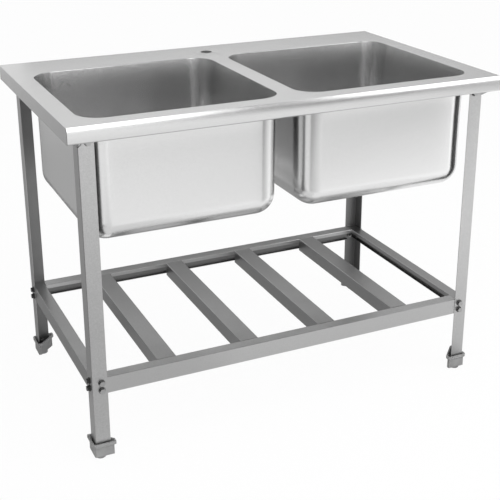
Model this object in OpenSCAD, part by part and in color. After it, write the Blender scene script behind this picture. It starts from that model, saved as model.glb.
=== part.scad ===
// Free-standing stainless sink unit: two deep bowls on a bolted angle-leg frame with a slatted shelf.
// Millimetres, +Z up, origin on the floor under the middle of the unit, front towards -Y.

/* [Overall] */
// Width of the unit, left to right
unit_w = 1200; // [1100:10:1500]
// Depth of the unit, front to back
unit_d = 720; // [680:10:800]
// Height of the top above the floor with the feet wound in
unit_h = 900; // [820:10:950]

/* [Top sheet] */
// Thickness of the pressed top
sheet_t = 1.2; // [1:0.1:1.5]
// Height of the aprons
apron_h = 40; // [36:1:50]
// Width of the return lip under the aprons
lip_w = 12; // [8:1:14]
// Radius of the rounded front nose
nose_r = 24; // [20:1:30]
// Height of the rounded part of the front nose
nose_h = 16; // [12:1:18]
// Outer radius of the bend at the foot of the front apron
apron_bend_r = 3.5; // [2:0.5:5]
// Outer radius of the bend along the rear edge
rear_bend_r = 2.5; // [1.5:0.5:4]
// Width left beside and between the bowls
bowl_margin = 52; // [50:1:60]
// Strip in front of the bowls
front_strip = 58; // [56:1:70]
// Strip behind the bowls
rear_strip = 146; // [135:1:160]
// Diameter of the tap hole
tap_hole_d = 35; // [32:1:38]
// Distance from the rear edge to the middle of the tap hole
tap_hole_back = 84; // [76:1:90]

/* [Bowls] */
// Inner depth of a bowl under the top sheet
bowl_depth = 320; // [250:5:340]
// Wall thickness of a bowl
bowl_t = 1.2; // [1:0.1:1.5]
// Plan radius of the bowl's corners at the rim
bowl_corner_r = 62; // [62:1:80]
// Radius between the bowl's walls and its floor
bowl_floor_r = 56; // [40:1:56]
// How far each wall leans in from the rim to the floor
bowl_draft = 5; // [0:1:5]
// Width of the welding flange round the bowl's rim
bowl_rim_w = 11; // [8:1:12]
// Depth of the recess round the drain
drain_recess_d = 4; // [3:0.5:5]
// Radius of the recess round the drain
drain_recess_r = 58; // [57:1:62]

/* [Drains] */
// Radius of the drain hole in the bowl
drain_hole_r = 44.5; // [44:0.5:46]
// Radius of the strainer cup's flange
cup_flange_r = 53.5; // [50:0.5:54]
// Outer radius of the strainer cup
cup_r = 42; // [40:0.5:43]
// Wall thickness of the strainer cup
cup_t = 2; // [1.5:0.5:2.5]
// Depth of the strainer cup below its flange
cup_depth = 42; // [38:1:45]
// Thickness of the seal above the bowl's floor
upper_seal_t = 1; // [0.5:0.5:1.5]
// Thickness of the seal under the bowl's floor
lower_seal_t = 3; // [2:0.5:4]
// Height of the clamp nut
clamp_nut_h = 10; // [8:1:12]
// Outer radius of the tailpiece that the trap's nut goes on
tail_r = 23.9; // [20:0.1:24]
// Wall thickness of the tailpiece
tail_t = 3.4; // [2:0.1:4]
// Length of the tailpiece below the cup
tail_len = 20; // [15:1:22]
// Thickness of the tailpiece's flange inside the cup
tail_flange_t = 2; // [1.5:0.5:3]
// Height of the lift-out strainer basket's wall
basket_h = 21; // [18:1:24]
// Count of drain holes in the basket's floor
basket_holes = 10; // [6:1:12]

/* [Legs] */
// Width of each flange of a leg
leg_w = 40; // [40:1:44]
// Thickness of a leg
leg_t = 1.5; // [1.5:0.1:2]
// Distance from the end of the unit to a leg's side flange
leg_inset_x = 33; // [30:1:40]
// Distance from the front or rear of the unit to a leg's flange
leg_inset_y = 38.7; // [34:0.1:46]
// Outer bend radius of a leg's fold
leg_bend_r = 2.5; // [2:0.1:3.5]
// Distance from the top down to the start of the leg's snipped corner
snip_drop = 62; // [61:1:66]
// Distance from the top down to the upper end of a leg
leg_top_drop = 36; // [34:1:38]

/* [Shelf] */
// Height of the shelf's top above the floor
shelf_z = 232; // [180:1:320]
// Height of the shelf rails
rail_h = 44; // [44:1:50]
// Thickness of the rails and slats
rail_t = 1.2; // [1:0.1:1.5]
// Width of the top flange of a rail
rail_flange_w = 34; // [34:1:40]
// Height of the turned-down lip on a rail's top flange
rail_lip_h = 12; // [8:1:12]
// Width of the bottom flange of a rail
rail_foot_w = 12; // [8:1:14]
// Outer bend radius of the rails and slats
rail_bend_r = 2.2; // [2:0.1:3]
// Width of a shelf slat
slat_w = 53; // [40:1:60]
// Height of a shelf slat
slat_h = 40; // [30:1:44]
// Distance between the middles of two neighbouring slats
slat_pitch = 237; // [220:1:240]

/* [Bolts] */
// Distance from a leg's fold to its bolts
bolt_in = 25; // [24:0.5:26]
// Height of the upper shelf bolt below the shelf's top
bolt_drop_upper = 11.5; // [11:0.5:12]
// Height of the lower shelf bolt below the shelf's top
bolt_drop_lower = 32.5; // [32:0.5:33]
// Height of the top bolt below the top
bolt_drop_top = 49; // [48:0.5:52]
// Radius of the flange under a bolt's head
bolt_head_r = 9; // [8.5:0.25:9.5]
// Height of a bolt's hexagon head with its flange
bolt_head_h = 8; // [6:0.5:9]
// Radius of a bolt's shank
bolt_r = 4; // [3:0.5:4]
// Radial clearance of the bolt holes
hole_gap = 0.5; // [0.3:0.1:0.8]
// Width across the flats of a bolt's head and its nut
nut_flats = 13; // [12:0.5:13]
// Height of a nut
nut_h = 6.5; // [5:0.5:7]

/* [Feet] */
// Height of the round pad under a shoe
pad_h = 10; // [10:0.5:14]
// Radius of the pad
pad_r = 14; // [13:0.5:16]
// Distance from the leg's fold to the middle of the foot
foot_in = 16; // [16:0.5:18]
// Wall thickness of the corner shoe
shoe_t = 3.5; // [3:0.5:4]
// Length of a shoe's side from the leg's fold
shoe_len = 48.5; // [48:0.5:52]
// Height of the shoe below its flared lip
shoe_h = 26; // [26:1:30]
// Height of the shoe's flared lip
shoe_lip_h = 12.5; // [8:0.5:14]
// How far the lip flares out
shoe_flare = 4.5; // [3:0.5:6]
// Radius of the foot's threaded stem
stem_r = 4.95; // [4.95:0.01:4.98]
// How far the foot winds out
foot_travel = 18; // [10:1:18]

/* [Hidden] */
$fn = 48;
// One overrun for every cut
cut = 5;
// Gap left between pieces that meet without pressing
seat_gap = 0.3;
// Radial running clearance of a turning shaft
run_gap = 0.05;

half_w = unit_w / 2;
half_d = unit_d / 2;
top_under = unit_h - sheet_t;
apron_z = unit_h - apron_h;
inner_bend_r = apron_bend_r - sheet_t;

bowl_w = (unit_w - 3 * bowl_margin) / 2;
bowl_d = unit_d - front_strip - rear_strip;
bowl_x = (bowl_w + bowl_margin) / 2;
bowl_y = (front_strip - rear_strip) / 2;
bowl_floor_z = top_under - bowl_depth;
seat_z = bowl_floor_z - drain_recess_d;
recess_slope = 3;

leg_x = half_w - leg_inset_x;
leg_y = half_d - leg_inset_y;
shoe_floor_t = 4;
leg_z = pad_h + shoe_floor_t;
leg_top = unit_h - leg_top_drop;
snip_z = unit_h - snip_drop;

// Inner radius of a leg's fold, and what nests in it stays this much clear
fold_r = leg_bend_r - leg_t;
fold_gap = 0.1;

bracket_t = 3;
bracket_w = 30;
bracket_drop = 58;
web_out = 18;
web_in = 4;
// Lifts the web's lower edge just clear of the leg's snipped corner
web_lift = 2 * leg_t + bracket_t / sqrt(2) + fold_gap;
web_rise_share = 0.85;

stiff_w = 25;
stiff_h = 25;
stiff_t = 1.5;
stiff_end_gap = 70;
centre_stiff_w = 24;

rail_z = shelf_z - rail_h;
rail_x = leg_x - leg_t;
rail_y = leg_y - leg_t;
slat_count = 4;
slat_y = rail_y - rail_flange_w;

head_rim_h = 1.2;
head_flange_h = 2.4;
head_collar_r = 8;
bolt_tip = 4;

seal_w = 7;
tail_flange_w = 4;
// Thread relief under the cup, and the tailpiece's radius there
relief_len = 2;
neck_r = tail_r - 1;
clamp_nut_w = 11;
clamp_lugs = 6;
clamp_lug_r = 3.2;
thread_gap = 0.3;
basket_t = 1.2;
basket_side_gap = 3;
basket_rim_w = 2.4;
basket_hole_r = 3;
basket_post_r = 3;
basket_post_h = 32;
knob_r = 9;
knob_h = 7;

shoe_corner_r = 3;
shoe_chamfer = 5;
shoe_lip_t = 2.4;
shoe_slice = 0.2;
lip_band_share = 0.6;
boss_r = 12.5;
boss_h = 17;
foot_nut_flats = 17;
foot_nut_h = 8;
foot_nut_z = 19;
// Thread left in the nut when the foot is wound out, and the height of the stem's top end
thread_hold = 7;
stem_top = foot_nut_z + thread_hold + foot_travel;
rib_len = 14;
rib_start = 30;
rib_t = 2.4;
rib_h = 18;
rib_gap = 0.1;
hex_flats = 14;
hex_h = 6;
hex_room = 7;
hex_room_r = 10.5;
hex_drop = 0.4;
stem_bore_gap = 0.45;
pad_socket_d = 6;
pad_edge = 1.5;
slot_w = 1.6;
slot_d = 2.5;

CORNERS = [["front_left", -1, -1], ["front_right", 1, -1], ["rear_left", -1, 1], ["rear_right", 1, 1]];
BOWLS = [["left", -1], ["right", 1]];

// Outline helpers: a polygon whose corners are rounded by arcs

function unit(v) = v / norm(v);

function corner_arc(a, b, c, r, n) =
    r <= 0 ? [b] :
    let (u = unit(a - b), v = unit(c - b))
    let (half = acos(u * v) / 2)
    let (d = r / tan(half), centre = b + unit(u + v) * (r / sin(half)))
    let (p = b + u * d - centre, q = b + v * d - centre)
    let (start = atan2(p[1], p[0]), turn = (atan2(q[1], q[0]) - start + 540) % 360 - 180)
    [for (i = [0:n]) centre + r * [cos(start + turn * i / n), sin(start + turn * i / n)]];

function rounded(points, radii, n = 4) =
    let (m = len(points))
    [for (i = [0:m - 1])
        each corner_arc(points[(i + m - 1) % m], points[i], points[(i + 1) % m], radii[i], n)];

// An arc of points about a centre
function arc(centre, r, from, to, n) =
    [for (i = [0:n]) centre + r * [cos(from + (to - from) * i / n), sin(from + (to - from) * i / n)]];

// Placing helpers

// Puts a piece drawn from a leg's fold, running inwards along +X and +Y, at one corner of the unit
module at_corner(sx, sy) {
    mirror([sx < 0 ? 1 : 0, 0, 0])
        mirror([0, sy < 0 ? 1 : 0, 0])
            translate([leg_x, leg_y, 0])
                rotate(180)
                    children();
}

// Puts a profile drawn as (outwards, up) along the front edge and runs it along X
module along_x(length) {
    rotate([90, 0, 90])
        linear_extrude(length, center = true)
            children();
}

module hexagon_prism(flats, h) {
    cylinder(r = flats / sqrt(3), h = h, $fn = 6);
}

// Steel top

function nose_angle(r, h) = asin(h / r);

// Side view of the top's outer surface, drawn as (y, z)
function outer_profile() =
    let (centre = [-half_d + nose_r, unit_h - nose_h])
    concat(
        arc([-half_d + apron_bend_r, apron_z + apron_bend_r], apron_bend_r, 270, 180, 4),
        arc(centre, nose_r, 180, 180 - nose_angle(nose_r, nose_h), 10),
        arc([half_d - rear_bend_r, unit_h - rear_bend_r], rear_bend_r, 90, 0, 4),
        [[half_d, apron_z]]);

// Side view of the hollow under the sheet, above the return lip
function inner_profile() =
    let (centre = [-half_d + nose_r, unit_h - nose_h])
    concat(
        arc([-half_d + apron_bend_r, apron_z + apron_bend_r], inner_bend_r, 270, 180, 4),
        arc(centre, nose_r - sheet_t, 180, 180 - nose_angle(nose_r - sheet_t, nose_h - sheet_t), 10),
        arc([half_d - rear_bend_r, unit_h - rear_bend_r], rear_bend_r - sheet_t, 90, 0, 4),
        [[half_d - sheet_t, apron_z + sheet_t]]);

module rounded_plate(w, d, r, h) {
    linear_extrude(h)
        union() {
            square([w - 2 * r, d], center = true);
            square([w, d - 2 * r], center = true);
            for (sx = [-1, 1])
                for (sy = [-1, 1])
                    translate([sx * (w / 2 - r), sy * (d / 2 - r)])
                        circle(r);
        }
}

module sink_top() {
    color([0.76, 0.76, 0.77])
        difference() {
            along_x(unit_w) polygon(outer_profile());
            along_x(unit_w - 2 * sheet_t) polygon(inner_profile());
            translate([-half_w + sheet_t + lip_w, -half_d + sheet_t + lip_w, apron_z - cut])
                cube([unit_w - 2 * (sheet_t + lip_w), unit_d - 2 * (sheet_t + lip_w), sheet_t + 2 * cut]);
            for (side = [-1, 1])
                translate([side * bowl_x, bowl_y, top_under - cut])
                    rounded_plate(bowl_w, bowl_d, bowl_corner_r, sheet_t + 2 * cut);
            translate([0, half_d - tap_hole_back, top_under - cut])
                cylinder(d = tap_hole_d, h = sheet_t + 2 * cut);
        }
}

// Folded strip under the top, running along X, with its web at y = 0 and its flange towards +Y
module angle_strip(length) {
    along_x(length)
        polygon([[0, top_under], [stiff_w, top_under], [stiff_w, top_under - stiff_t],
            [stiff_t, top_under - stiff_t], [stiff_t, top_under - stiff_h], [0, top_under - stiff_h]]);
}

function stiffener_y() = -half_d + sheet_t + lip_w + seat_gap;

module front_stiffener() {
    color([0.66, 0.66, 0.67])
        translate([0, stiffener_y(), 0])
            angle_strip(unit_w - 2 * stiff_end_gap);
}

module rear_stiffener() {
    color([0.66, 0.66, 0.67])
        translate([0, -stiffener_y(), 0])
            rotate(180)
                angle_strip(unit_w - 2 * stiff_end_gap);
}

module centre_stiffener() {
    half = centre_stiff_w / 2;
    low = top_under - stiff_h;
    color([0.66, 0.66, 0.67])
        translate([0, bowl_y, 0])
            rotate(90)
                along_x(bowl_d)
                    polygon([[-half, low], [-half, top_under], [half, top_under], [half, low],
                        [half - stiff_t, low], [half - stiff_t, top_under - stiff_t],
                        [-half + stiff_t, top_under - stiff_t], [-half + stiff_t, low]]);
}

// Corner bracket nested inside a leg, with a web that runs out through the leg's snipped fold
module bracket(sx, sy) {
    low = unit_h - bracket_drop;
    web_low = snip_z + web_lift;
    color([0.5, 0.5, 0.51])
        at_corner(sx, sy)
            difference() {
                union() {
                    translate([leg_t, leg_t, low])
                        linear_extrude(top_under - low)
                            polygon([[fold_r, 0], [bracket_w, 0], [bracket_w, bracket_t],
                                [bracket_t, bracket_t], [bracket_t, bracket_w], [0, bracket_w], [0, fold_r]]);
                    translate([leg_t, leg_t, top_under - bracket_t])
                        linear_extrude(bracket_t)
                            polygon([[fold_r, 0], [bracket_w, 0], [0, bracket_w], [0, fold_r]]);
                    rotate([90, 0, 45])
                        linear_extrude(bracket_t, center = true)
                            polygon([[-web_out * sqrt(2), web_low + web_out * web_rise_share],
                                [0, web_low], [web_in * sqrt(2), web_low],
                                [web_in * sqrt(2), top_under], [-web_out * sqrt(2), top_under]]);
                }
                bolt_axes([bolt_drop_top]) cylinder(r = bolt_r + hole_gap, h = 4 * cut, center = true);
            }
}

// Bolts

// Repeats a piece drawn along +Z at each bolt of one leg, with z = 0 on the leg's outer face
module bolt_axes(drops) {
    for (drop = drops) {
        translate([bolt_in, 0, unit_h - drop])
            rotate([-90, 0, 0])
                children();
        translate([0, bolt_in, unit_h - drop])
            rotate([0, 90, 0])
                children();
    }
}

module bolt(grip) {
    rotate_extrude()
        polygon([[0, 0], [bolt_head_r, 0], [bolt_head_r, -head_rim_h],
            [head_collar_r, -head_flange_h], [0, -head_flange_h]]);
    translate([0, 0, -bolt_head_h])
        hexagon_prism(nut_flats, bolt_head_h - head_flange_h);
    cylinder(r = bolt_r, h = grip + nut_h + bolt_tip);
}

module nut(grip) {
    translate([0, 0, grip])
        difference() {
            hexagon_prism(nut_flats, nut_h);
            translate([0, 0, -cut])
                cylinder(r = bolt_r + run_gap, h = nut_h + 2 * cut);
        }
}

function shelf_drops() = [unit_h - shelf_z + bolt_drop_upper, unit_h - shelf_z + bolt_drop_lower];

module top_bolts() {
    color([0.62, 0.62, 0.63])
        for (c = CORNERS)
            at_corner(c[1], c[2]) bolt_axes([bolt_drop_top]) bolt(leg_t + bracket_t);
}

module top_nuts() {
    color([0.58, 0.58, 0.59])
        for (c = CORNERS)
            at_corner(c[1], c[2]) bolt_axes([bolt_drop_top]) nut(leg_t + bracket_t);
}

module shelf_bolts() {
    color([0.62, 0.62, 0.63])
        for (c = CORNERS)
            at_corner(c[1], c[2]) bolt_axes(shelf_drops()) bolt(leg_t + rail_t);
}

module shelf_nuts() {
    color([0.58, 0.58, 0.59])
        for (c = CORNERS)
            at_corner(c[1], c[2]) bolt_axes(shelf_drops()) nut(leg_t + rail_t);
}

// Bowls

// Section of a bowl's wall, drawn as (distance from the corner axis, z)
function wall_profile() =
    let (axis_r = bowl_corner_r - bowl_draft - bowl_floor_r, arc_z = bowl_floor_z + bowl_floor_r)
    concat(
        [[0, bowl_floor_z]],
        arc([axis_r, arc_z], bowl_floor_r, -90, 0, 8),
        [[bowl_corner_r, top_under], [bowl_corner_r + bowl_rim_w, top_under],
            [bowl_corner_r + bowl_rim_w, top_under - bowl_t], [bowl_corner_r + bowl_t, top_under - bowl_t]],
        arc([axis_r, arc_z], bowl_floor_r + bowl_t, 0, -90, 8),
        [[0, bowl_floor_z - bowl_t]]);

module bowl(side) {
    ax = bowl_w / 2 - bowl_corner_r;
    ay = bowl_d / 2 - bowl_corner_r;
    places = [[ax, ay], [-ax, ay], [-ax, -ay], [ax, -ay]];
    color([0.72, 0.72, 0.73])
        translate([side * bowl_x, bowl_y, 0]) {
            for (i = [0:3])
                translate(places[i])
                    rotate(90 * i)
                        rotate_extrude(angle = 90)
                            polygon(wall_profile());
            for (turn = [0, 180])
                rotate(turn) {
                    translate([ax, 0, 0])
                        rotate([90, 0, 0])
                            linear_extrude(2 * ay, center = true)
                                polygon(wall_profile());
                    translate([0, ay, 0])
                        rotate([90, 0, 90])
                            linear_extrude(2 * ax, center = true)
                                polygon(wall_profile());
                }
            difference() {
                translate([-ax, -ay, bowl_floor_z - bowl_t])
                    cube([2 * ax, 2 * ay, bowl_t]);
                translate([0, 0, bowl_floor_z - bowl_t - cut])
                    cylinder(r = drain_recess_r, h = bowl_t + 2 * cut);
            }
            rotate_extrude()
                polygon([[drain_recess_r, bowl_floor_z], [drain_recess_r - recess_slope, seat_z],
                    [drain_hole_r, seat_z], [drain_hole_r, seat_z - bowl_t],
                    [drain_recess_r - recess_slope, seat_z - bowl_t],
                    [drain_recess_r, bowl_floor_z - bowl_t]]);
        }
}

// Drains

function flange_z() = seat_z + upper_seal_t;
function cup_low() = flange_z() - cup_depth;
function basket_z() = cup_low() + cup_t + tail_flange_t + seat_gap;

module ring(inner_r, outer_r, z, h) {
    translate([0, 0, z])
        difference() {
            cylinder(r = outer_r, h = h);
            translate([0, 0, -cut])
                cylinder(r = inner_r, h = h + 2 * cut);
        }
}

module at_drain(side) {
    translate([side * bowl_x, bowl_y, 0])
        children();
}

module strainer_cup(side) {
    color([0.7, 0.7, 0.71])
        at_drain(side)
            rotate_extrude()
                polygon([[cup_flange_r, flange_z()], [cup_flange_r, flange_z() + cup_t / 2],
                    [cup_flange_r - cup_t, flange_z() + cup_t], [cup_r, flange_z() + cup_t],
                    [cup_r - cup_t, flange_z()], [cup_r - cup_t, cup_low() + cup_t],
                    [tail_r + run_gap, cup_low() + cup_t], [tail_r + run_gap, cup_low()],
                    [cup_r, cup_low()], [cup_r, flange_z()]]);
}

module upper_seal(side) {
    color([0.12, 0.12, 0.12])
        at_drain(side) ring(cup_flange_r - seal_w, cup_flange_r, seat_z, upper_seal_t);
}

module lower_seal(side) {
    color([0.12, 0.12, 0.12])
        at_drain(side)
            ring(cup_r + thread_gap, cup_r + clamp_nut_w, seat_z - bowl_t - lower_seal_t, lower_seal_t);
}

module clamp_nut(side) {
    low = seat_z - bowl_t - lower_seal_t - clamp_nut_h;
    color([0.3, 0.3, 0.31])
        at_drain(side)
            difference() {
                union() {
                    cylinder_at(cup_r + clamp_nut_w - clamp_lug_r, low, clamp_nut_h);
                    for (i = [0:clamp_lugs - 1])
                        rotate(i * 360 / clamp_lugs)
                            translate([cup_r + clamp_nut_w - clamp_lug_r, 0, low])
                                cylinder(r = clamp_lug_r, h = clamp_nut_h);
                }
                translate([0, 0, low - cut])
                    cylinder(r = cup_r + thread_gap, h = clamp_nut_h + 2 * cut);
            }
}

module cylinder_at(r, z, h) {
    translate([0, 0, z])
        cylinder(r = r, h = h);
}

module tailpiece(side) {
    color([0.68, 0.68, 0.69])
        at_drain(side)
            difference() {
                union() {
                    cylinder_at(tail_r, cup_low() - tail_len, tail_len - relief_len);
                    cylinder_at(neck_r, cup_low() - relief_len, relief_len + cup_t + tail_flange_t);
                    cylinder_at(tail_r + tail_flange_w, cup_low() + cup_t, tail_flange_t);
                }
                cylinder_at(tail_r - tail_t, cup_low() - tail_len - cut,
                    tail_len + cup_t + tail_flange_t + 2 * cut);
            }
}

module strainer_basket(side) {
    outer_r = cup_r - cup_t - basket_side_gap;
    z = basket_z();
    rim = z + basket_h;
    color([0.7, 0.7, 0.71])
        at_drain(side)
            difference() {
                union() {
                    rotate_extrude()
                        polygon([[0, z], [outer_r, z], [outer_r, rim - basket_t],
                            [outer_r + basket_rim_w, rim - basket_t], [outer_r + basket_rim_w, rim],
                            [outer_r - basket_t, rim], [outer_r - basket_t, z + basket_t],
                            [0, z + basket_t]]);
                    cylinder_at(basket_post_r, z, basket_post_h);
                    translate([0, 0, z + basket_post_h])
                        rotate_extrude()
                            polygon([[0, -knob_h / 2], [knob_r / 2, -knob_h / 2], [knob_r, 0],
                                [knob_r, knob_h / 4], [knob_r / 2, knob_h / 2], [0, knob_h / 2]]);
                }
                for (i = [0:basket_holes - 1])
                    rotate(i * 360 / basket_holes)
                        translate([outer_r * 2 / 3, 0, z - cut])
                            cylinder(r = basket_hole_r, h = 2 * cut);
            }
}

// Legs

function angle_profile() =
    rounded([[0, 0], [leg_w, 0], [leg_w, leg_t], [leg_t, leg_t], [leg_t, leg_w], [0, leg_w]],
        [leg_bend_r, 0, 0, leg_bend_r - leg_t, 0, 0]);

module leg(sx, sy) {
    reach = leg_w * sqrt(2);
    color([0.6, 0.6, 0.61])
        at_corner(sx, sy)
            difference() {
                translate([0, 0, leg_z])
                    linear_extrude(leg_top - leg_z)
                        polygon(angle_profile());
                rotate([90, 0, 45])
                    linear_extrude(2 * reach, center = true)
                        polygon([[-cut, snip_z - cut * sqrt(2)], [reach, snip_z + reach * sqrt(2)],
                            [-cut, snip_z + reach * sqrt(2)]]);
                bolt_axes(concat(shelf_drops(), [bolt_drop_top]))
                    cylinder(r = bolt_r + hole_gap, h = 4 * cut, center = true);
            }
}

// Shelf

// Rail section, drawn as (inwards from the outer face, z)
function rail_profile() =
    let (w = rail_flange_w, t = rail_t, r = rail_bend_r, low = rail_z, high = shelf_z)
    rounded([[0, low], [rail_foot_w, low], [rail_foot_w, low + t], [t, low + t], [t, high - t],
            [w - t, high - t], [w - t, high - rail_lip_h], [w, high - rail_lip_h], [w, high], [0, high]],
        [r, 0, 0, r - t, r - t, r - t, 0, 0, r, r]);

// Flat end of a rail that runs on behind a leg's flange to its bolts
module rail_tab(length) {
    translate([-length / 2, 0, rail_z])
        cube([length, rail_t, rail_h]);
}

module long_rail(sy) {
    flanged = 2 * (rail_x - rail_flange_w);
    tabbed = 2 * (rail_x - fold_r - fold_gap);
    color([0.58, 0.58, 0.59])
        mirror([0, sy > 0 ? 1 : 0, 0])
            difference() {
                translate([0, -rail_y, 0])
                    union() {
                        along_x(flanged) polygon(rail_profile());
                        rail_tab(tabbed);
                    }
                rail_holes();
            }
}

module side_rail(sx) {
    length = 2 * (rail_y - rail_t - seat_gap);
    color([0.56, 0.56, 0.57])
        mirror([sx > 0 ? 1 : 0, 0, 0])
            difference() {
                translate([-rail_x, 0, 0])
                    rotate(-90)
                        along_x(length) polygon(rail_profile());
                rail_holes();
            }
}

module rail_holes() {
    for (c = CORNERS)
        at_corner(c[1], c[2])
            bolt_axes(shelf_drops())
                cylinder(r = bolt_r + hole_gap, h = 3 * cut);
}

module slat(i) {
    half = slat_w / 2;
    low = shelf_z - slat_h;
    color([0.55, 0.55, 0.56])
        translate([(i - (slat_count - 1) / 2) * slat_pitch, 0, 0])
            rotate(90)
                along_x(2 * slat_y)
                    polygon(rounded([[-half, low], [-half, shelf_z], [half, shelf_z], [half, low],
                            [half - rail_t, low], [half - rail_t, shelf_z - rail_t],
                            [-half + rail_t, shelf_z - rail_t], [-half + rail_t, low]],
                        [0, rail_bend_r, rail_bend_r, 0, 0, rail_bend_r - rail_t, rail_bend_r - rail_t, 0]));
}

// Feet

// Plan of the shoe, grown outwards by e from its wall's outer face
function shoe_outline(e) =
    let (low = -shoe_t - e, high = shoe_len + e, cut_in = shoe_chamfer + e * (sqrt(2) - 1), r = shoe_corner_r)
    rounded([[low, low], [high, low], [high, cut_in], [cut_in, high], [low, high]],
        [max(r + e, r / 2), r / 2, r / 2, r / 2, r / 2], 3);

module shoe_slab(e, z, h) {
    translate([0, 0, z])
        linear_extrude(h)
            polygon(shoe_outline(e));
}

module flare(e_low, e_high, z_low, z_high) {
    hull() {
        shoe_slab(e_low, z_low, shoe_slice);
        shoe_slab(e_high, z_high - shoe_slice, shoe_slice);
    }
}

module shoe(sx, sy) {
    low = pad_h;
    flare_z = low + shoe_h;
    band_z = flare_z + shoe_lip_h * (1 - lip_band_share);
    high = flare_z + shoe_lip_h;
    color([0.42, 0.42, 0.43])
        at_corner(sx, sy)
            difference() {
                union() {
                    difference() {
                        union() {
                            shoe_slab(0, low, shoe_h);
                            flare(0, shoe_flare, flare_z, band_z);
                            shoe_slab(shoe_flare, band_z, high - band_z);
                        }
                        shoe_slab(-shoe_t, low + shoe_floor_t, shoe_h - shoe_floor_t);
                        flare(-shoe_t, shoe_flare - shoe_lip_t, flare_z, high + cut);
                    }
                    translate([foot_in, foot_in, low])
                        cylinder(r = boss_r, h = boss_h);
                    for (flip = [0, 1])
                        mirror([flip, -flip, 0])
                            translate([rib_start, leg_t + rib_gap, low + shoe_floor_t / 2])
                                cube([rib_len, rib_t, rib_h]);
                }
                translate([foot_in, foot_in, 0]) {
                    cylinder_at(stem_r + stem_bore_gap, low - cut, boss_h + 2 * cut);
                    cylinder_at(hex_room_r, low - cut, hex_room + cut);
                    translate([0, 0, foot_nut_z])
                        hexagon_prism(foot_nut_flats, foot_nut_h + cut);
                }
            }
}

module foot_nuts() {
    color([0.6, 0.6, 0.61])
        for (c = CORNERS)
            at_corner(c[1], c[2])
                translate([foot_in, foot_in, foot_nut_z])
                    difference() {
                        hexagon_prism(foot_nut_flats, foot_nut_h);
                        translate([0, 0, -cut])
                            cylinder(r = stem_r + run_gap, h = foot_nut_h + 2 * cut);
                    }
}

module pad(sx, sy) {
    color([0.4, 0.4, 0.41])
        at_corner(sx, sy)
            translate([foot_in, foot_in, 0])
                difference() {
                    rotate_extrude()
                        polygon([[0, 0], [pad_r - pad_edge, 0], [pad_r, pad_edge],
                            [pad_r, pad_h - pad_edge / 2], [pad_r - pad_edge / 2, pad_h], [0, pad_h]]);
                    cylinder_at(stem_r + run_gap, pad_h - pad_socket_d, pad_socket_d + cut);
                }
}

module stem(sx, sy) {
    hex_z = pad_h + hex_drop;
    color([0.62, 0.62, 0.63])
        at_corner(sx, sy)
            translate([foot_in, foot_in, 0])
                difference() {
                    union() {
                        cylinder_at(stem_r, pad_h - pad_socket_d, stem_top - pad_h + pad_socket_d);
                        translate([0, 0, hex_z])
                            hexagon_prism(hex_flats, hex_h);
                    }
                    translate([-slot_w / 2, -stem_r - cut, stem_top - slot_d])
                        cube([slot_w, 2 * (stem_r + cut), slot_d + cut]);
                }
}

sink_top();
front_stiffener();
rear_stiffener();
centre_stiffener();
bracket(-1, -1);  // front_left_bracket
bracket(1, -1);  // front_right_bracket
bracket(-1, 1);  // rear_left_bracket
bracket(1, 1);  // rear_right_bracket
bowl(-1);  // left_bowl
bowl(1);  // right_bowl
strainer_cup(-1);  // left_strainer_cup
upper_seal(-1);  // left_upper_seal
lower_seal(-1);  // left_lower_seal
clamp_nut(-1);  // left_clamp_nut
tailpiece(-1);  // left_tailpiece
strainer_basket(-1);  // left_strainer_basket
strainer_cup(1);  // right_strainer_cup
upper_seal(1);  // right_upper_seal
lower_seal(1);  // right_lower_seal
clamp_nut(1);  // right_clamp_nut
tailpiece(1);  // right_tailpiece
strainer_basket(1);  // right_strainer_basket
leg(-1, -1);  // front_left_leg
leg(1, -1);  // front_right_leg
leg(-1, 1);  // rear_left_leg
leg(1, 1);  // rear_right_leg
long_rail(-1);  // front_rail
long_rail(1);  // rear_rail
side_rail(-1);  // left_rail
side_rail(1);  // right_rail
slat(0);  // shelf_slat_1
slat(1);  // shelf_slat_2
slat(2);  // shelf_slat_3
slat(3);  // shelf_slat_4
top_bolts();
top_nuts();
shelf_bolts();
shelf_nuts();
shoe(-1, -1);  // front_left_shoe
shoe(1, -1);  // front_right_shoe
shoe(-1, 1);  // rear_left_shoe
shoe(1, 1);  // rear_right_shoe
foot_nuts();
pad(-1, -1);  // front_left_pad
pad(1, -1);  // front_right_pad
pad(-1, 1);  // rear_left_pad
pad(1, 1);  // rear_right_pad
stem(-1, -1);  // front_left_stem
stem(1, -1);  // front_right_stem
stem(-1, 1);  // rear_left_stem
stem(1, 1);  // rear_right_stem
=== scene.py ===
"""Looks of a free-standing stainless sink unit: two deep bowls on bolted angle legs with a slatted shelf."""

import math

import bmesh
import bpy
from mathutils import Matrix, Vector
from mathutils.geometry import tessellate_polygon


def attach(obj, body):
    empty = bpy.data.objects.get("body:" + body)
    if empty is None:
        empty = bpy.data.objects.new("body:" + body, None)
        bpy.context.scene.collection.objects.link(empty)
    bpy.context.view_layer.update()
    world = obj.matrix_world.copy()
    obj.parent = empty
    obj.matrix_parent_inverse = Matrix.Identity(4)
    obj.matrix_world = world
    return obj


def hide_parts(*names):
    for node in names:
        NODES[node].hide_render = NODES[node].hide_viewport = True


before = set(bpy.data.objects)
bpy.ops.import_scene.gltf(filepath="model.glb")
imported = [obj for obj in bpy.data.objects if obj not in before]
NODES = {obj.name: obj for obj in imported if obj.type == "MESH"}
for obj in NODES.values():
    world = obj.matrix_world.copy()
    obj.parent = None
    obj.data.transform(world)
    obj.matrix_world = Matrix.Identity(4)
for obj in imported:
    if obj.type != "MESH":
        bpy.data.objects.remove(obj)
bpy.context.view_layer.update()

# Camera: the principal point lies above the middle of the picture
PICTURE = 500.0
FOCAL_PX = 1014.8368
CENTRE_PX = (250.0, 190.0)
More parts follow.
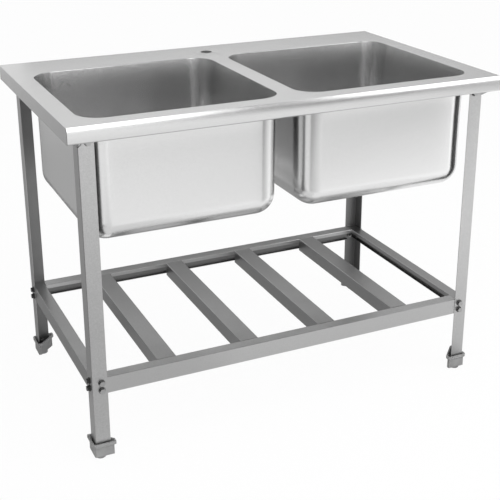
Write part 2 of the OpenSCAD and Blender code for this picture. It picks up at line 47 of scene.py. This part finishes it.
YAW, PITCH, ROLL = 0.4312, 0.3421, -0.0026
EYE = (-1.1374589, -2.5084546, 1.5297479)
SENSOR = 36.0
CLIP_NEAR, CLIP_FAR = 0.05, 60

# Shared sizes, in metres
HALF_W, HALF_D, TOP_Z, APRON_Z = 0.600, 0.360, 0.900, 0.860
SHEET = 0.0012
FOOT_BEND, REAR_BEND, END_BEND, LIP = 0.0035, 0.0025, 0.002, 0.0132
TAP_Y, TAP_R = 0.276, 0.0175
LEG_X = 0.567

# Nose: how high it stands, how far it leans back at its crease (degrees) and how soon that fades
NOSE_H, NOSE_TILT, NOSE_FADE = 0.036, 44, 0.0085

# Bowls: middle, half sizes and corner radius of the opening, then the inner face below it
BOWL_X, BOWL_Y, BOWL_HX, BOWL_HY, BOWL_R = 0.287, -0.044, 0.261, 0.258, 0.062
RIM_ROLL, RIM_Z, FLOOR_Z, FLOOR_R = 0.0025, 0.8987, 0.5788, 0.056
DRAFT, DRAFT_FADE, WALL_SPACING = 0.005, 0.2, 1.5
# (distance out from the opening's line, drop below RIM_Z), from the hidden flange inwards
RIM_LINE = ((0.011, 0.0), (0.0022, 0.0), (0.0009, 0.0007), (0.0, 0.0012))
# (radius, drop below the floor) of the recess round the drain, after the edge of the floor
RECESS_EDGE = 0.060
RECESS_LINE = ((0.0575, 0.0004), (0.0565, 0.0020), (0.0556, 0.0034), (0.0540, 0.0040), (0.0445, 0.0040))

# Fineness of the smooth pieces
BEND_STEPS, END_STEPS, NOSE_STEPS, ROLL_STEPS = 6, 4, 24, 5
WALL_STEPS, CORNER_STEPS, FLOOR_STEPS, ROUND_STEPS = 14, 16, 12, 64
SHARP_ANGLE = 28
MERGE = 1e-6

# Strips with painted shade on their inner faces: how far a face looks ahead, and how far inside the strip's box
# that has to be
LOOK_AHEAD, BOX_MARGIN = 0.001, 0.0005
# A bolt's face counts as its end above this share of its normal along the bolt, and the rest take painted shade
END_FACING = 0.95

# Floor: its reach, its place just under the feet, and the share of it that stays white and clear
FLOOR_REACH, FLOOR_DROP, FLOOR_GREY, FLOOR_SHARE = 14.0, 0.0005, 0.9, 0.96
WORLD_LIGHT = 0.6

# Steel: noise scales of the fine specks, the grain, the clouds and the handling marks
SPECKS, CLOUDS, SMEARS = 400.0, 5.0, 18.0
ALONG, ACROSS, EVEN = 3.0, 900.0, 420.0
GRAIN_ALONG = {
    "x": (ALONG, ACROSS, ACROSS),
    "y": (ACROSS, ALONG, ACROSS),
    "z": (ACROSS, ACROSS, ALONG),
    "even": (EVEN, EVEN, EVEN),
}
STEEL_SPREAD, STEEL_RELIEF = 0.28, 0.0002
# The part of each noise's range that is used
CLOUD_SPAN, GRAIN_SPAN, CAST_SPAN = (0.3, 0.7), (0.25, 0.75), (0.3, 0.7)
SPECK_SPAN, SMEAR_SPAN = (0.35, 0.65), (0.35, 0.7)

# Cast and moulded surfaces: noise scales, spread of roughness and depth of the relief
CAST_GRAIN, CAST_CLOUDS, CAST_ROUGH, CAST_RELIEF = 400.0, 30.0, 0.06, 0.0004


def place(thing):
    bpy.context.scene.collection.objects.link(thing)
    return thing


def make_camera():
    forward = Vector((math.sin(YAW) * math.cos(PITCH), math.cos(YAW) * math.cos(PITCH), -math.sin(PITCH)))
    right = Vector((math.cos(YAW), -math.sin(YAW), 0.0))
    up = right.cross(forward)
    x = right * math.cos(ROLL) + up * math.sin(ROLL)
    y = up * math.cos(ROLL) - right * math.sin(ROLL)
    data = bpy.data.cameras.new("camera")
    data.sensor_width = SENSOR
    data.lens = FOCAL_PX / PICTURE * SENSOR
    data.shift_x = (PICTURE / 2 - CENTRE_PX[0]) / PICTURE
    data.shift_y = (CENTRE_PX[1] - PICTURE / 2) / PICTURE
    data.clip_start, data.clip_end = CLIP_NEAR, CLIP_FAR
    camera = place(bpy.data.objects.new("camera", data))
    camera.matrix_world = Matrix.Translation(EYE) @ Matrix((x, y, -forward)).transposed().to_4x4()
    bpy.context.scene.camera = camera


class Nodes:
    """Short calls for building one node tree."""

    def __init__(self, tree):
        self.tree = tree
        tree.nodes.clear()

    def add(self, kind, settings=None, **inputs):
        node = self.tree.nodes.new(kind)
        for key, value in (settings or {}).items():
            setattr(node, key, value)
        for key, value in inputs.items():
            self.put(node, key.replace("_", " "), value)
        return node

    def put(self, node, key, value):
        socket = node.inputs[key]
        if isinstance(value, bpy.types.NodeSocket):
            self.tree.links.new(value, socket)
        else:
            socket.default_value = value

    def end(self, kind, shader):
        self.add(kind, Surface=shader.outputs[0])

    def noise(self, vector, scale, detail=3.0, roughness=0.55):
        node = self.add("ShaderNodeTexNoise", Vector=vector, Scale=scale, Detail=detail, Roughness=roughness)
        return node.outputs["Fac"]

    def stretched(self, vector, scales):
        return self.add("ShaderNodeMapping", Vector=vector, Scale=scales).outputs["Vector"]

    def remap(self, value, span, low, high):
        node = self.add("ShaderNodeMapRange", Value=value,
                        From_Min=span[0], From_Max=span[1], To_Min=low, To_Max=high)
        return node.outputs["Result"]

    def blend(self, share, a, b):
        node = self.add("ShaderNodeMix", {"data_type": "RGBA"})
        for index, part in ((0, share), (6, a), (7, b)):
            self.put(node, index, part)
        return node.outputs[2]

    def math(self, operation, a, b):
        node = self.add("ShaderNodeMath", {"operation": operation})
        self.put(node, 0, a)
        self.put(node, 1, b)
        return node.outputs[0]

    def mixed(self, share, a, b):
        node = self.add("ShaderNodeMixShader")
        for index, part in ((0, share), (1, a.outputs[0]), (2, b.outputs[0])):
            self.put(node, index, part)
        return node

    def mirrored(self, path):
        """1 for rays that come off metal or through glass."""
        return self.math("MAXIMUM", path.outputs["Is Glossy Ray"], path.outputs["Is Transmission Ray"])


def grey(value):
    return (value, value, value, 1.0)


def new_material(name):
    made = bpy.data.materials.new(name)
    made.use_nodes = True
    return made, Nodes(made.node_tree)


def surface(n, metallic, colour, rough, height, bump, depth):
    relief = n.add("ShaderNodeBump", Strength=bump, Distance=depth, Height=height)
    shader = n.add("ShaderNodeBsdfPrincipled", Metallic=metallic, Base_Color=colour, Roughness=rough,
                   Normal=relief.outputs["Normal"])
    n.end("ShaderNodeOutputMaterial", shader)


def steel(name, value, roughness, grain="x", bump=0.10, cloud=0.02, marks=0.03, tint=0.02, speck=0.0):
    """Satin sheet steel: a fine grain along one axis, specks, faint clouds and a few handling marks."""
    made, n = new_material(name)
    at = n.add("ShaderNodeTexCoord").outputs["Object"]
    fine = n.noise(n.stretched(at, GRAIN_ALONG[grain]), 1.0, 4.0, 0.6)
    broad = n.noise(at, CLOUDS, 4.0)
    smears = n.noise(at, SMEARS, 6.0, 0.65)
    tone = n.math("ADD", n.remap(broad, CLOUD_SPAN, -cloud, cloud), n.remap(fine, GRAIN_SPAN, -tint, tint))
    specks = n.noise(at, SPECKS, 1.0)
    tone = n.math("ADD", tone, n.remap(specks, SPECK_SPAN, -speck, speck))
    colour = n.blend(n.math("ADD", tone, 0.5), grey(value * (1 - STEEL_SPREAD)), grey(value * (1 + STEEL_SPREAD)))
    rough = n.math("ADD", n.remap(fine, GRAIN_SPAN, roughness - tint, roughness + tint),
                   n.remap(smears, SMEAR_SPAN, -marks, marks))
    surface(n, 1.0, colour, rough, fine, bump, STEEL_RELIEF)
    return made


def solid(name, value, roughness, metallic=0.0, grain=CAST_GRAIN, bump=0.15, spread=0.12):
    """Cast, moulded or rubber surface with a fine texture."""
    made, n = new_material(name)
    at = n.add("ShaderNodeTexCoord").outputs["Object"]
    fine = n.noise(at, grain, 5.0, 0.6)
    broad = n.noise(at, CAST_CLOUDS, 3.0)
    colour = n.blend(n.remap(broad, CLOUD_SPAN, 0.0, 1.0), grey(value * (1 - spread)), grey(value * (1 + spread)))
    rough = n.remap(fine, CAST_SPAN, roughness - CAST_ROUGH, roughness + CAST_ROUGH)
    surface(n, metallic, colour, rough, fine, bump, CAST_RELIEF)
    return made


def dress(name, material):
    node = NODES[name]
    node.data.materials.clear()
    node.data.materials.append(material)


def dress_two_sided(name, outside, inside):
    """Dresses a folded strip, with a dark material as painted shade on the faces that look into its own box."""
    dress(name, outside)
    mesh = NODES[name].data
    mesh.materials.append(inside)
    low = [min(v.co[i] for v in mesh.vertices) + BOX_MARGIN for i in range(3)]
    high = [max(v.co[i] for v in mesh.vertices) - BOX_MARGIN for i in range(3)]
    for face in mesh.polygons:
        ahead = face.center + face.normal * LOOK_AHEAD
        face.material_index = int(all(low[i] < ahead[i] < high[i] for i in range(3)))


def dress_bolts(name, ends, walls):
    """Dresses bolts, with painted shade on their sides, which are far darker than their ends.

    Bolts past the legs' folds point along x, and the others along y.
    """
    dress(name, ends)
    mesh = NODES[name].data
    mesh.materials.append(walls)
    for face in mesh.polygons:
        axis = 0 if abs(face.center.x) > LEG_X else 1
        face.material_index = int(abs(face.normal[axis]) < END_FACING)


def make_piece(name, build, materials, outward):
    """One smooth sheet from build(bmesh), with its faces turned away from its middle or towards it."""
    bm = bmesh.new()
    build(bm)
    bmesh.ops.remove_doubles(bm, verts=bm.verts, dist=MERGE)
    bmesh.ops.recalc_face_normals(bm, faces=bm.faces)
    middle = sum((v.co for v in bm.verts), Vector()) / len(bm.verts)
    turned = sum(f.calc_area() * f.normal.dot(f.calc_center_median() - middle) for f in bm.faces)
    if (turned > 0) != outward:
        bmesh.ops.reverse_faces(bm, faces=bm.faces)
    mesh = bpy.data.meshes.new(name)
    bm.to_mesh(mesh)
    bm.free()
    for material in materials:
        mesh.materials.append(material)
    mesh.polygons.foreach_set("use_smooth", [True] * len(mesh.polygons))
    mesh.set_sharp_from_angle(angle=math.radians(SHARP_ANGLE))
    piece = place(bpy.data.objects.new(name, mesh))
    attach(piece, "root")
    # The sheet's thickness lies behind the drawn face, and its flat faces stay flat
    wall = piece.modifiers.new("wall", "SOLIDIFY")
    wall.thickness = SHEET
    wall.offset = -1.0
    wall.use_even_offset = True
    # The back faces take the second material: painted shade under the top, and the lighter outer steel on the
    # bowls
    wall.material_offset = 1
    flat = piece.modifiers.new("flat", "WEIGHTED_NORMAL")
    flat.keep_sharp = True
    flat.weight = 100
    return piece


def arc(centre, radius, start, end, steps):
    turns = [math.radians(start + (end - start) * i / steps) for i in range(steps + 1)]
    return [(centre[0] + radius * math.cos(a), centre[1] + radius * math.sin(a)) for a in turns]


def circle(centre, radius):
    return arc(centre, radius, 0, 360 - 360 / ROUND_STEPS, ROUND_STEPS - 1)


def quarter(steps):
    """(sine, 1 - cosine) at even turns from 0 to 90 degrees."""
    turns = [math.radians(90 * k / steps) for k in range(steps + 1)]
    return [(math.sin(a), 1 - math.cos(a)) for a in turns]


def bowl_line(side, out):
    """The rounded outline of a bowl's opening, moved out by a distance."""
    x, y, r = BOWL_HX - BOWL_R, BOWL_HY - BOWL_R, BOWL_R + out
    points = []
    for sx, sy, start in ((1, 1, 0), (-1, 1, 90), (-1, -1, 180), (1, -1, 270)):
        points += arc((side * BOWL_X + sx * x, BOWL_Y + sy * y), r, start, start + 90, CORNER_STEPS)
    return points


def strip(bm, first, second, closed=False):
    """Quads between two rows of vertices."""
    count = len(first)
    for i in range(count if closed else count - 1):
        j = (i + 1) % count
        bm.faces.new((first[i], first[j], second[j], second[i]))


def lower_ring(bm, ring, points, z):
    """A closed row of vertices at one height, joined to the row before it."""
    made = [bm.verts.new((x, y, z)) for x, y in points]
    if ring:
        strip(bm, ring, made, True)
    return made


def flat_with_holes(bm, outer, holes, z):
    """Fills the outer line apart from its holes, and returns the rows of vertices."""
    loops = [[Vector((x, y, z)) for x, y in line] for line in [outer] + holes]
    rows = [[bm.verts.new(p) for p in line] for line in loops]
    every = [v for row in rows for v in row]
    faces = [bm.faces.new([every[i] for i in corner]) for corner in tessellate_polygon(loops)]
    # Points in one line can give flat triangles, so the inner edges are turned
    edges = list(dict.fromkeys(edge for face in faces for edge in face.edges))
    bmesh.ops.beautify_fill(bm, faces=faces, edges=edges)
    return rows


def top_profile(depth):
    """Side view of the top as (y, z), from the foot of the front apron over the nose to the rear."""
    points = arc((-HALF_D + depth + FOOT_BEND, APRON_Z + FOOT_BEND), FOOT_BEND, 270, 180, BEND_STEPS)
    # The nose leans back more and more towards its crease
    y, step = -HALF_D, NOSE_H / NOSE_STEPS
    for i in range(NOSE_STEPS + 1):
        tilt = math.radians(NOSE_TILT) * math.exp((i * step - NOSE_H) / NOSE_FADE)
        points.append((y + depth * math.cos(tilt), TOP_Z - NOSE_H + i * step - depth * math.sin(tilt)))
        y += step * math.tan(tilt)
    points += arc((HALF_D - REAR_BEND, TOP_Z - REAR_BEND), REAR_BEND - depth, 90, 0, BEND_STEPS)
    return points + [(HALF_D - depth, APRON_Z)]


def build_top(bm):
    # The profile is drawn at both ends, where it turns in over a small bend
    rows = {-1: [], 1: []}
    for side, row in rows.items():
        for sine, drop in quarter(END_STEPS):
            x = side * (HALF_W - END_BEND + END_BEND * sine)
            row.append([bm.verts.new((x, y, z)) for y, z in top_profile(END_BEND * drop)])
            if len(row) > 1:
                strip(bm, row[-2], row[-1])
        bm.faces.new(row[-1])
    left, right = rows[-1][0], rows[1][0]
    # The flat deck runs from the crease of the nose to the rear bend
    crease = BEND_STEPS + 1 + NOSE_STEPS
    for i in range(len(left) - 1):
        if i != crease:
            bm.faces.new((left[i], left[i + 1], right[i + 1], right[i]))
    corners = [(v.co.x, v.co.y) for v in (left[crease], right[crease], right[crease + 1], left[crease + 1])]
    holes = [bowl_line(side, RIM_ROLL) for side in (-1, 1)] + [circle((0, TAP_Y), TAP_R)]
    made = flat_with_holes(bm, corners, holes, TOP_Z)
    for side, ring in ((-1, made[1]), (1, made[2])):
        for sine, drop in quarter(ROLL_STEPS)[1:]:
            ring = lower_ring(bm, ring, bowl_line(side, RIM_ROLL * (1 - sine)), TOP_Z - RIM_ROLL * drop)
    # The return lip under the aprons
    x, y = HALF_W - LIP, HALF_D - LIP
    lip = {(sx, sy): bm.verts.new((sx * x, sy * y, APRON_Z)) for sx in (-1, 1) for sy in (-1, 1)}
    for end, sy in ((0, -1), (-1, 1)):
        run = [row[end] for row in reversed(rows[-1])] + [row[end] for row in rows[1]]
        bm.faces.new(run + [lip[1, sy], lip[-1, sy]])
    for side in (-1, 1):
        edge = rows[side][-1]
        bm.faces.new((edge[0], edge[-1], lip[side, 1], lip[side, -1]))


def bowl_section():
    """(distance out from the opening's line, height) of the inner face, from the flange to the floor."""
    line = [(out, RIM_Z - drop) for out, drop in RIM_LINE]
    arc_z = FLOOR_Z + FLOOR_R
    wall_h = line[-1][1] - arc_z
    # The wall leans in most just below the rim
    for i in range(1, WALL_STEPS + 1):
        down = (i / WALL_STEPS) ** WALL_SPACING
        inward = DRAFT * (1 - math.exp(-down / DRAFT_FADE)) / (1 - math.exp(-1 / DRAFT_FADE))
        line.append((-inward, arc_z + wall_h * (1 - down)))
    return line + arc((-DRAFT - FLOOR_R, arc_z), FLOOR_R, 0, -90, FLOOR_STEPS)[1:-1]


def build_bowl(side):
    def build(bm):
        ring = None
        for out, z in bowl_section():
            ring = lower_ring(bm, ring, bowl_line(side, out), z)
        centre = (side * BOWL_X, BOWL_Y)
        floor_line = bowl_line(side, -DRAFT - FLOOR_R)
        rim, hole = flat_with_holes(bm, floor_line, [circle(centre, RECESS_EDGE)], FLOOR_Z)
        strip(bm, ring, rim, True)
        for r, drop in RECESS_LINE:
            hole = lower_ring(bm, hole, circle(centre, r), FLOOR_Z - drop)
    return build


def make_floor():
    corners = [(sx * FLOOR_REACH, sy * FLOOR_REACH, 0) for sx, sy in ((-1, -1), (1, -1), (1, 1), (-1, 1))]
    mesh = bpy.data.meshes.new("floor")
    mesh.from_pydata(corners, [], [(0, 1, 2, 3)])
    floor = place(bpy.data.objects.new("floor", mesh))
    floor.location.z = -FLOOR_DROP
    made, n = new_material("floor")
    path = n.add("ShaderNodeLightPath")
    matt = n.add("ShaderNodeBsdfDiffuse", Color=grey(FLOOR_GREY))
    # Metal sees a white floor, and the camera sees the feet that are wound out below it
    glow = n.add("ShaderNodeEmission", Color=grey(1.0), Strength=1.0)
    clear = n.add("ShaderNodeBsdfTransparent", Color=grey(1.0))
    white = n.mixed(n.math("MULTIPLY", n.mirrored(path), FLOOR_SHARE), matt, glow)
    shown = n.mixed(n.math("MULTIPLY", path.outputs["Is Camera Ray"], FLOOR_SHARE), white, clear)
    n.end("ShaderNodeOutputMaterial", shown)
    mesh.materials.append(made)


def make_world():
    world = bpy.data.worlds.new("studio")
    world.use_nodes = True
    bpy.context.scene.world = world
    n = Nodes(world.node_tree)
    path = n.add("ShaderNodeLightPath")
    seen = n.math("MAXIMUM", path.outputs["Is Camera Ray"], n.mirrored(path))
    plain = n.add("ShaderNodeBackground", Color=grey(1.0), Strength=WORLD_LIGHT)
    white = n.add("ShaderNodeBackground", Color=grey(1.0), Strength=1.0)
    n.end("ShaderNodeOutputWorld", n.mixed(seen, plain, white))


def grey_card(name, middle, along, up, *values):
    """A glowing card that only shows in the polished faces, as a painted reflection, with one grey or one for each
    corner.

    along and up are its half sides, and its corners go round from the one that lies against both.
    """
    at, a, b = Vector(middle), Vector(along), Vector(up)
    mesh = bpy.data.meshes.new(name)
    mesh.from_pydata([at - a - b, at + a - b, at + a + b, at - a + b], [], [(0, 1, 2, 3)])
    tones = mesh.color_attributes.new("tone", "FLOAT_COLOR", "POINT")
    for i in range(4):
        tones.data[i].color = grey(values[i % len(values)])
    made, n = new_material(name)
    tone = n.add("ShaderNodeAttribute", {"attribute_name": "tone"}).outputs["Color"]
    n.end("ShaderNodeOutputMaterial", n.add("ShaderNodeEmission", Color=tone, Strength=1.0))
    mesh.materials.append(made)
    card = place(bpy.data.objects.new(name, mesh))
    card.visible_camera = False
    card.visible_diffuse = False
    card.visible_shadow = False


def area_lamp(name, at, aim, size, power):
    data = bpy.data.lights.new(name, "AREA")
    data.shape = "RECTANGLE"
    data.size, data.size_y = size
    data.energy = power
    lamp = place(bpy.data.objects.new(name, data))
    lamp.location = at
    lamp.rotation_euler = (Vector(aim) - Vector(at)).to_track_quat("-Z", "Y").to_euler()
    lamp.visible_camera = False


make_camera()
make_world()
make_floor()
area_lamp("key_left", (0.0, -2.1, 2.45), (0, -0.36, 0.9), (1.7, 2.6), 30)
area_lamp("key_right", (2.05, -2.1, 2.45), (0.5, -0.36, 0.9), (1.5, 2.6), 26)
area_lamp("front_low", (1.0, -3.2, 0.35), (0.2, 0, 0.5), (2.8, 0.6), 2)
area_lamp("overhead", (0.3, -0.6, 3.6), (0, 0, 0), (2.6, 1.2), 14)

# Cards that paint reflections into the left faces, the rear and the deck
grey_card("left_card", (-1.6, 1.3, 1.0), (0, 1.8, 0), (0, 0, 1.0), 0.45)
grey_card("dark_card", (-1.6, -0.9, 0.75), (0, 0.4, 0), (0, 0, 0.75), 0.05)
grey_card("rear_card", (1.4, 1.9, 0.6), (1.6, 0, 0), (0, 0, 0.60), 0.13)
grey_card("ceiling_card", (0.0, 0.6, 3.0), (1.8, 0, 0), (0, 1.4, 0), 0.45)
grey_card("gap_card", (0.95, -2.0, 2.3), (0.35, 0, 0), (0, 0.8, 1.15), 0.35)
grey_card("deck_card", (1.8, 1.95, 1.9), (0.8, 0, 0), (0, 0, 0.65), 1.0, 0.72, 0.72, 1.0)
# Cards close to the front that only the bowls' outer faces see: the shade card paints the apron's shadow as darker
# tops on the bowl fronts, and the stripe card paints a darker band by the right bowl's left corner
grey_card("shade_card", (0.1, -0.5, 0.61), (0.54, 0, 0), (0, 0, 0.165), 1.04, 1.20, 0.70, 0.86)
grey_card("stripe_card", (0.05, -0.4, 0.685), (0.08, 0, 0), (0, 0, 0.145), 0.60, 1.0, 0.85, 0.25)
# Cards on the floor, unseen by the camera, that paint reflections
grey_card("floor_card_near", (-1.36, 0.4, 0.0002), (0.79, 0, 0), (0, 0.9, 0), 0.48)
grey_card("floor_card_middle", (-1.4, 1.85, 0.0002), (0.75, 0, 0), (0, 0.55, 0), 0.44)
grey_card("floor_card_far", (-1.4, 3.6, 0.0002), (0.85, 0, 0), (0, 1.2, 0), 0.48, 0.48, 0.66, 0.66)
grey_card("dark_floor_card", (-1.4, -0.9, 0.0002), (0.5, 0, 0), (0, 0.4, 0), 0.05)
grey_card("under_card", (0.15, -0.25, 0.0003), (0.47, 0, 0), (0, 0.25, 0), 0.5)
grey_card("behind_card", (-0.1, 0.7, 0.0003), (0.8, 0, 0), (0, 0.7, 0), 0.35)
grey_card("leg_card", (-0.48, -1.35, 0.0003), (0.42, 0, 0), (0, 0.95, 0), 0.80)
grey_card("right_leg_card", (1.65, -1.4, 0.0002), (0.75, 0, 0), (0, 1.0, 0), 1.5, 1.5, 1.1, 1.1)
grey_card("bright_card", (1.45, -2.525, 0.0004), (1.75, 0, 0), (0, 0.475, 0), 1.05, 1.1, 1.6, 1.2)
grey_card("front_card_left", (2.5, -4.6, 0.0002), (0.9, 0, 0), (0, 1.6, 0), 0.95, 0.35, 1.0, 1.0)
grey_card("front_card_right", (4.9, -4.6, 0.0002), (1.5, 0, 0), (0, 1.6, 0), 0.35, 0.9, 1.0, 1.0)
# Standing cards far in front, painting the reflections in the nose
grey_card("horizon_card_left", (0.3, -6.2, 0.9), (1.3, 0, 0), (0, 0, 0.9), 0.95, 0.95, 1.6, 1.6)
grey_card("horizon_card_middle", (2.5, -6.2, 0.9), (0.9, 0, 0), (0, 0, 0.9), 0.95, 0.3, 0.3, 1.6)
grey_card("horizon_card_right", (4.9, -6.2, 0.9), (1.5, 0, 0), (0, 0, 0.9), 0.3, 0.9, 1.3, 0.3)

top_steel = steel("top_steel", 0.57, 0.24, bump=0.04, cloud=0.01, marks=0.015, speck=0.04)
# Dark steel that paints the shade inside the channels, strips and angles and on the hidden underside of the top
painted_shade_steel = steel("painted_shade_steel", 0.25, 0.50, "even", speck=0.1)
# The bowls' inner faces: a darker copy of the outer steel, painted shade inside the bowls, with coarser specks of
# grain
bowl_steel = steel("bowl_steel", 0.66, 0.26, "even", bump=0.02, cloud=0.006, marks=0.006, tint=0.008, speck=0.3)
bowl_outside = steel("bowl_outside", 0.75, 0.24, "even", bump=0.01, cloud=0.0, marks=0.002, tint=0.004, speck=0.04)
leg_steel = steel("leg_steel", 0.455, 0.34, "z", speck=0.1)
rail_steel = steel("rail_steel", 0.45, 0.34, speck=0.1)
slat_steel = steel("slat_steel", 0.38, 0.34, "y", speck=0.1)
drain_steel = steel("drain_steel", 0.62, 0.16, "z", bump=0.03)
bolt_steel = solid("bolt_steel", 0.38, 0.34, metallic=1.0, grain=900.0, bump=0.05, spread=0.06)
# Near-black copy of the bolt steel, painted shade on the bolts' sides
bolt_painted_shade = solid("bolt_painted_shade", 0.07, 0.4, metallic=1.0, grain=900.0, bump=0.05, spread=0.06)
foot_grey = solid("foot_grey", 0.29, 0.5)
seal_rubber = solid("seal_rubber", 0.03, 0.75)
nut_plastic = solid("nut_plastic", 0.08, 0.5)

dress("sink_top", top_steel)
for name in ("front_stiffener", "rear_stiffener", "centre_stiffener"):
    dress(name, rail_steel)
for name in ("front_rail", "rear_rail"):
    dress_two_sided(name, rail_steel, painted_shade_steel)
for name in ("left_rail", "right_rail", "shelf_slat_1", "shelf_slat_2", "shelf_slat_3", "shelf_slat_4"):
    dress_two_sided(name, slat_steel, painted_shade_steel)
for corner in ("front_left", "front_right", "rear_left", "rear_right"):
    dress_two_sided(corner + "_leg", leg_steel, painted_shade_steel)
    dress(corner + "_bracket", leg_steel)
    dress(corner + "_shoe", foot_grey)
    dress(corner + "_pad", foot_grey)
    dress(corner + "_stem", bolt_steel)
for side in ("left", "right"):
    dress(side + "_bowl", bowl_steel)
    for part in ("_strainer_cup", "_tailpiece", "_strainer_basket"):
        dress(side + part, drain_steel)
    for part in ("_upper_seal", "_lower_seal"):
        dress(side + part, seal_rubber)
    dress(side + "_clamp_nut", nut_plastic)
for name in ("top_nuts", "shelf_nuts", "foot_nuts"):
    dress(name, bolt_steel)
for name in ("top_bolts", "shelf_bolts"):
    dress_bolts(name, bolt_steel, bolt_painted_shade)

top = make_piece("pressed_top", build_top, (top_steel, painted_shade_steel), True)
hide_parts("sink_top")
for side, sign in (("left", -1), ("right", 1)):
    bowl = make_piece(side + "_pressed_bowl", build_bowl(sign), (bowl_steel, bowl_outside), False)
    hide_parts(side + "_bowl")

bpy.context.scene.view_settings.view_transform = "Standard"
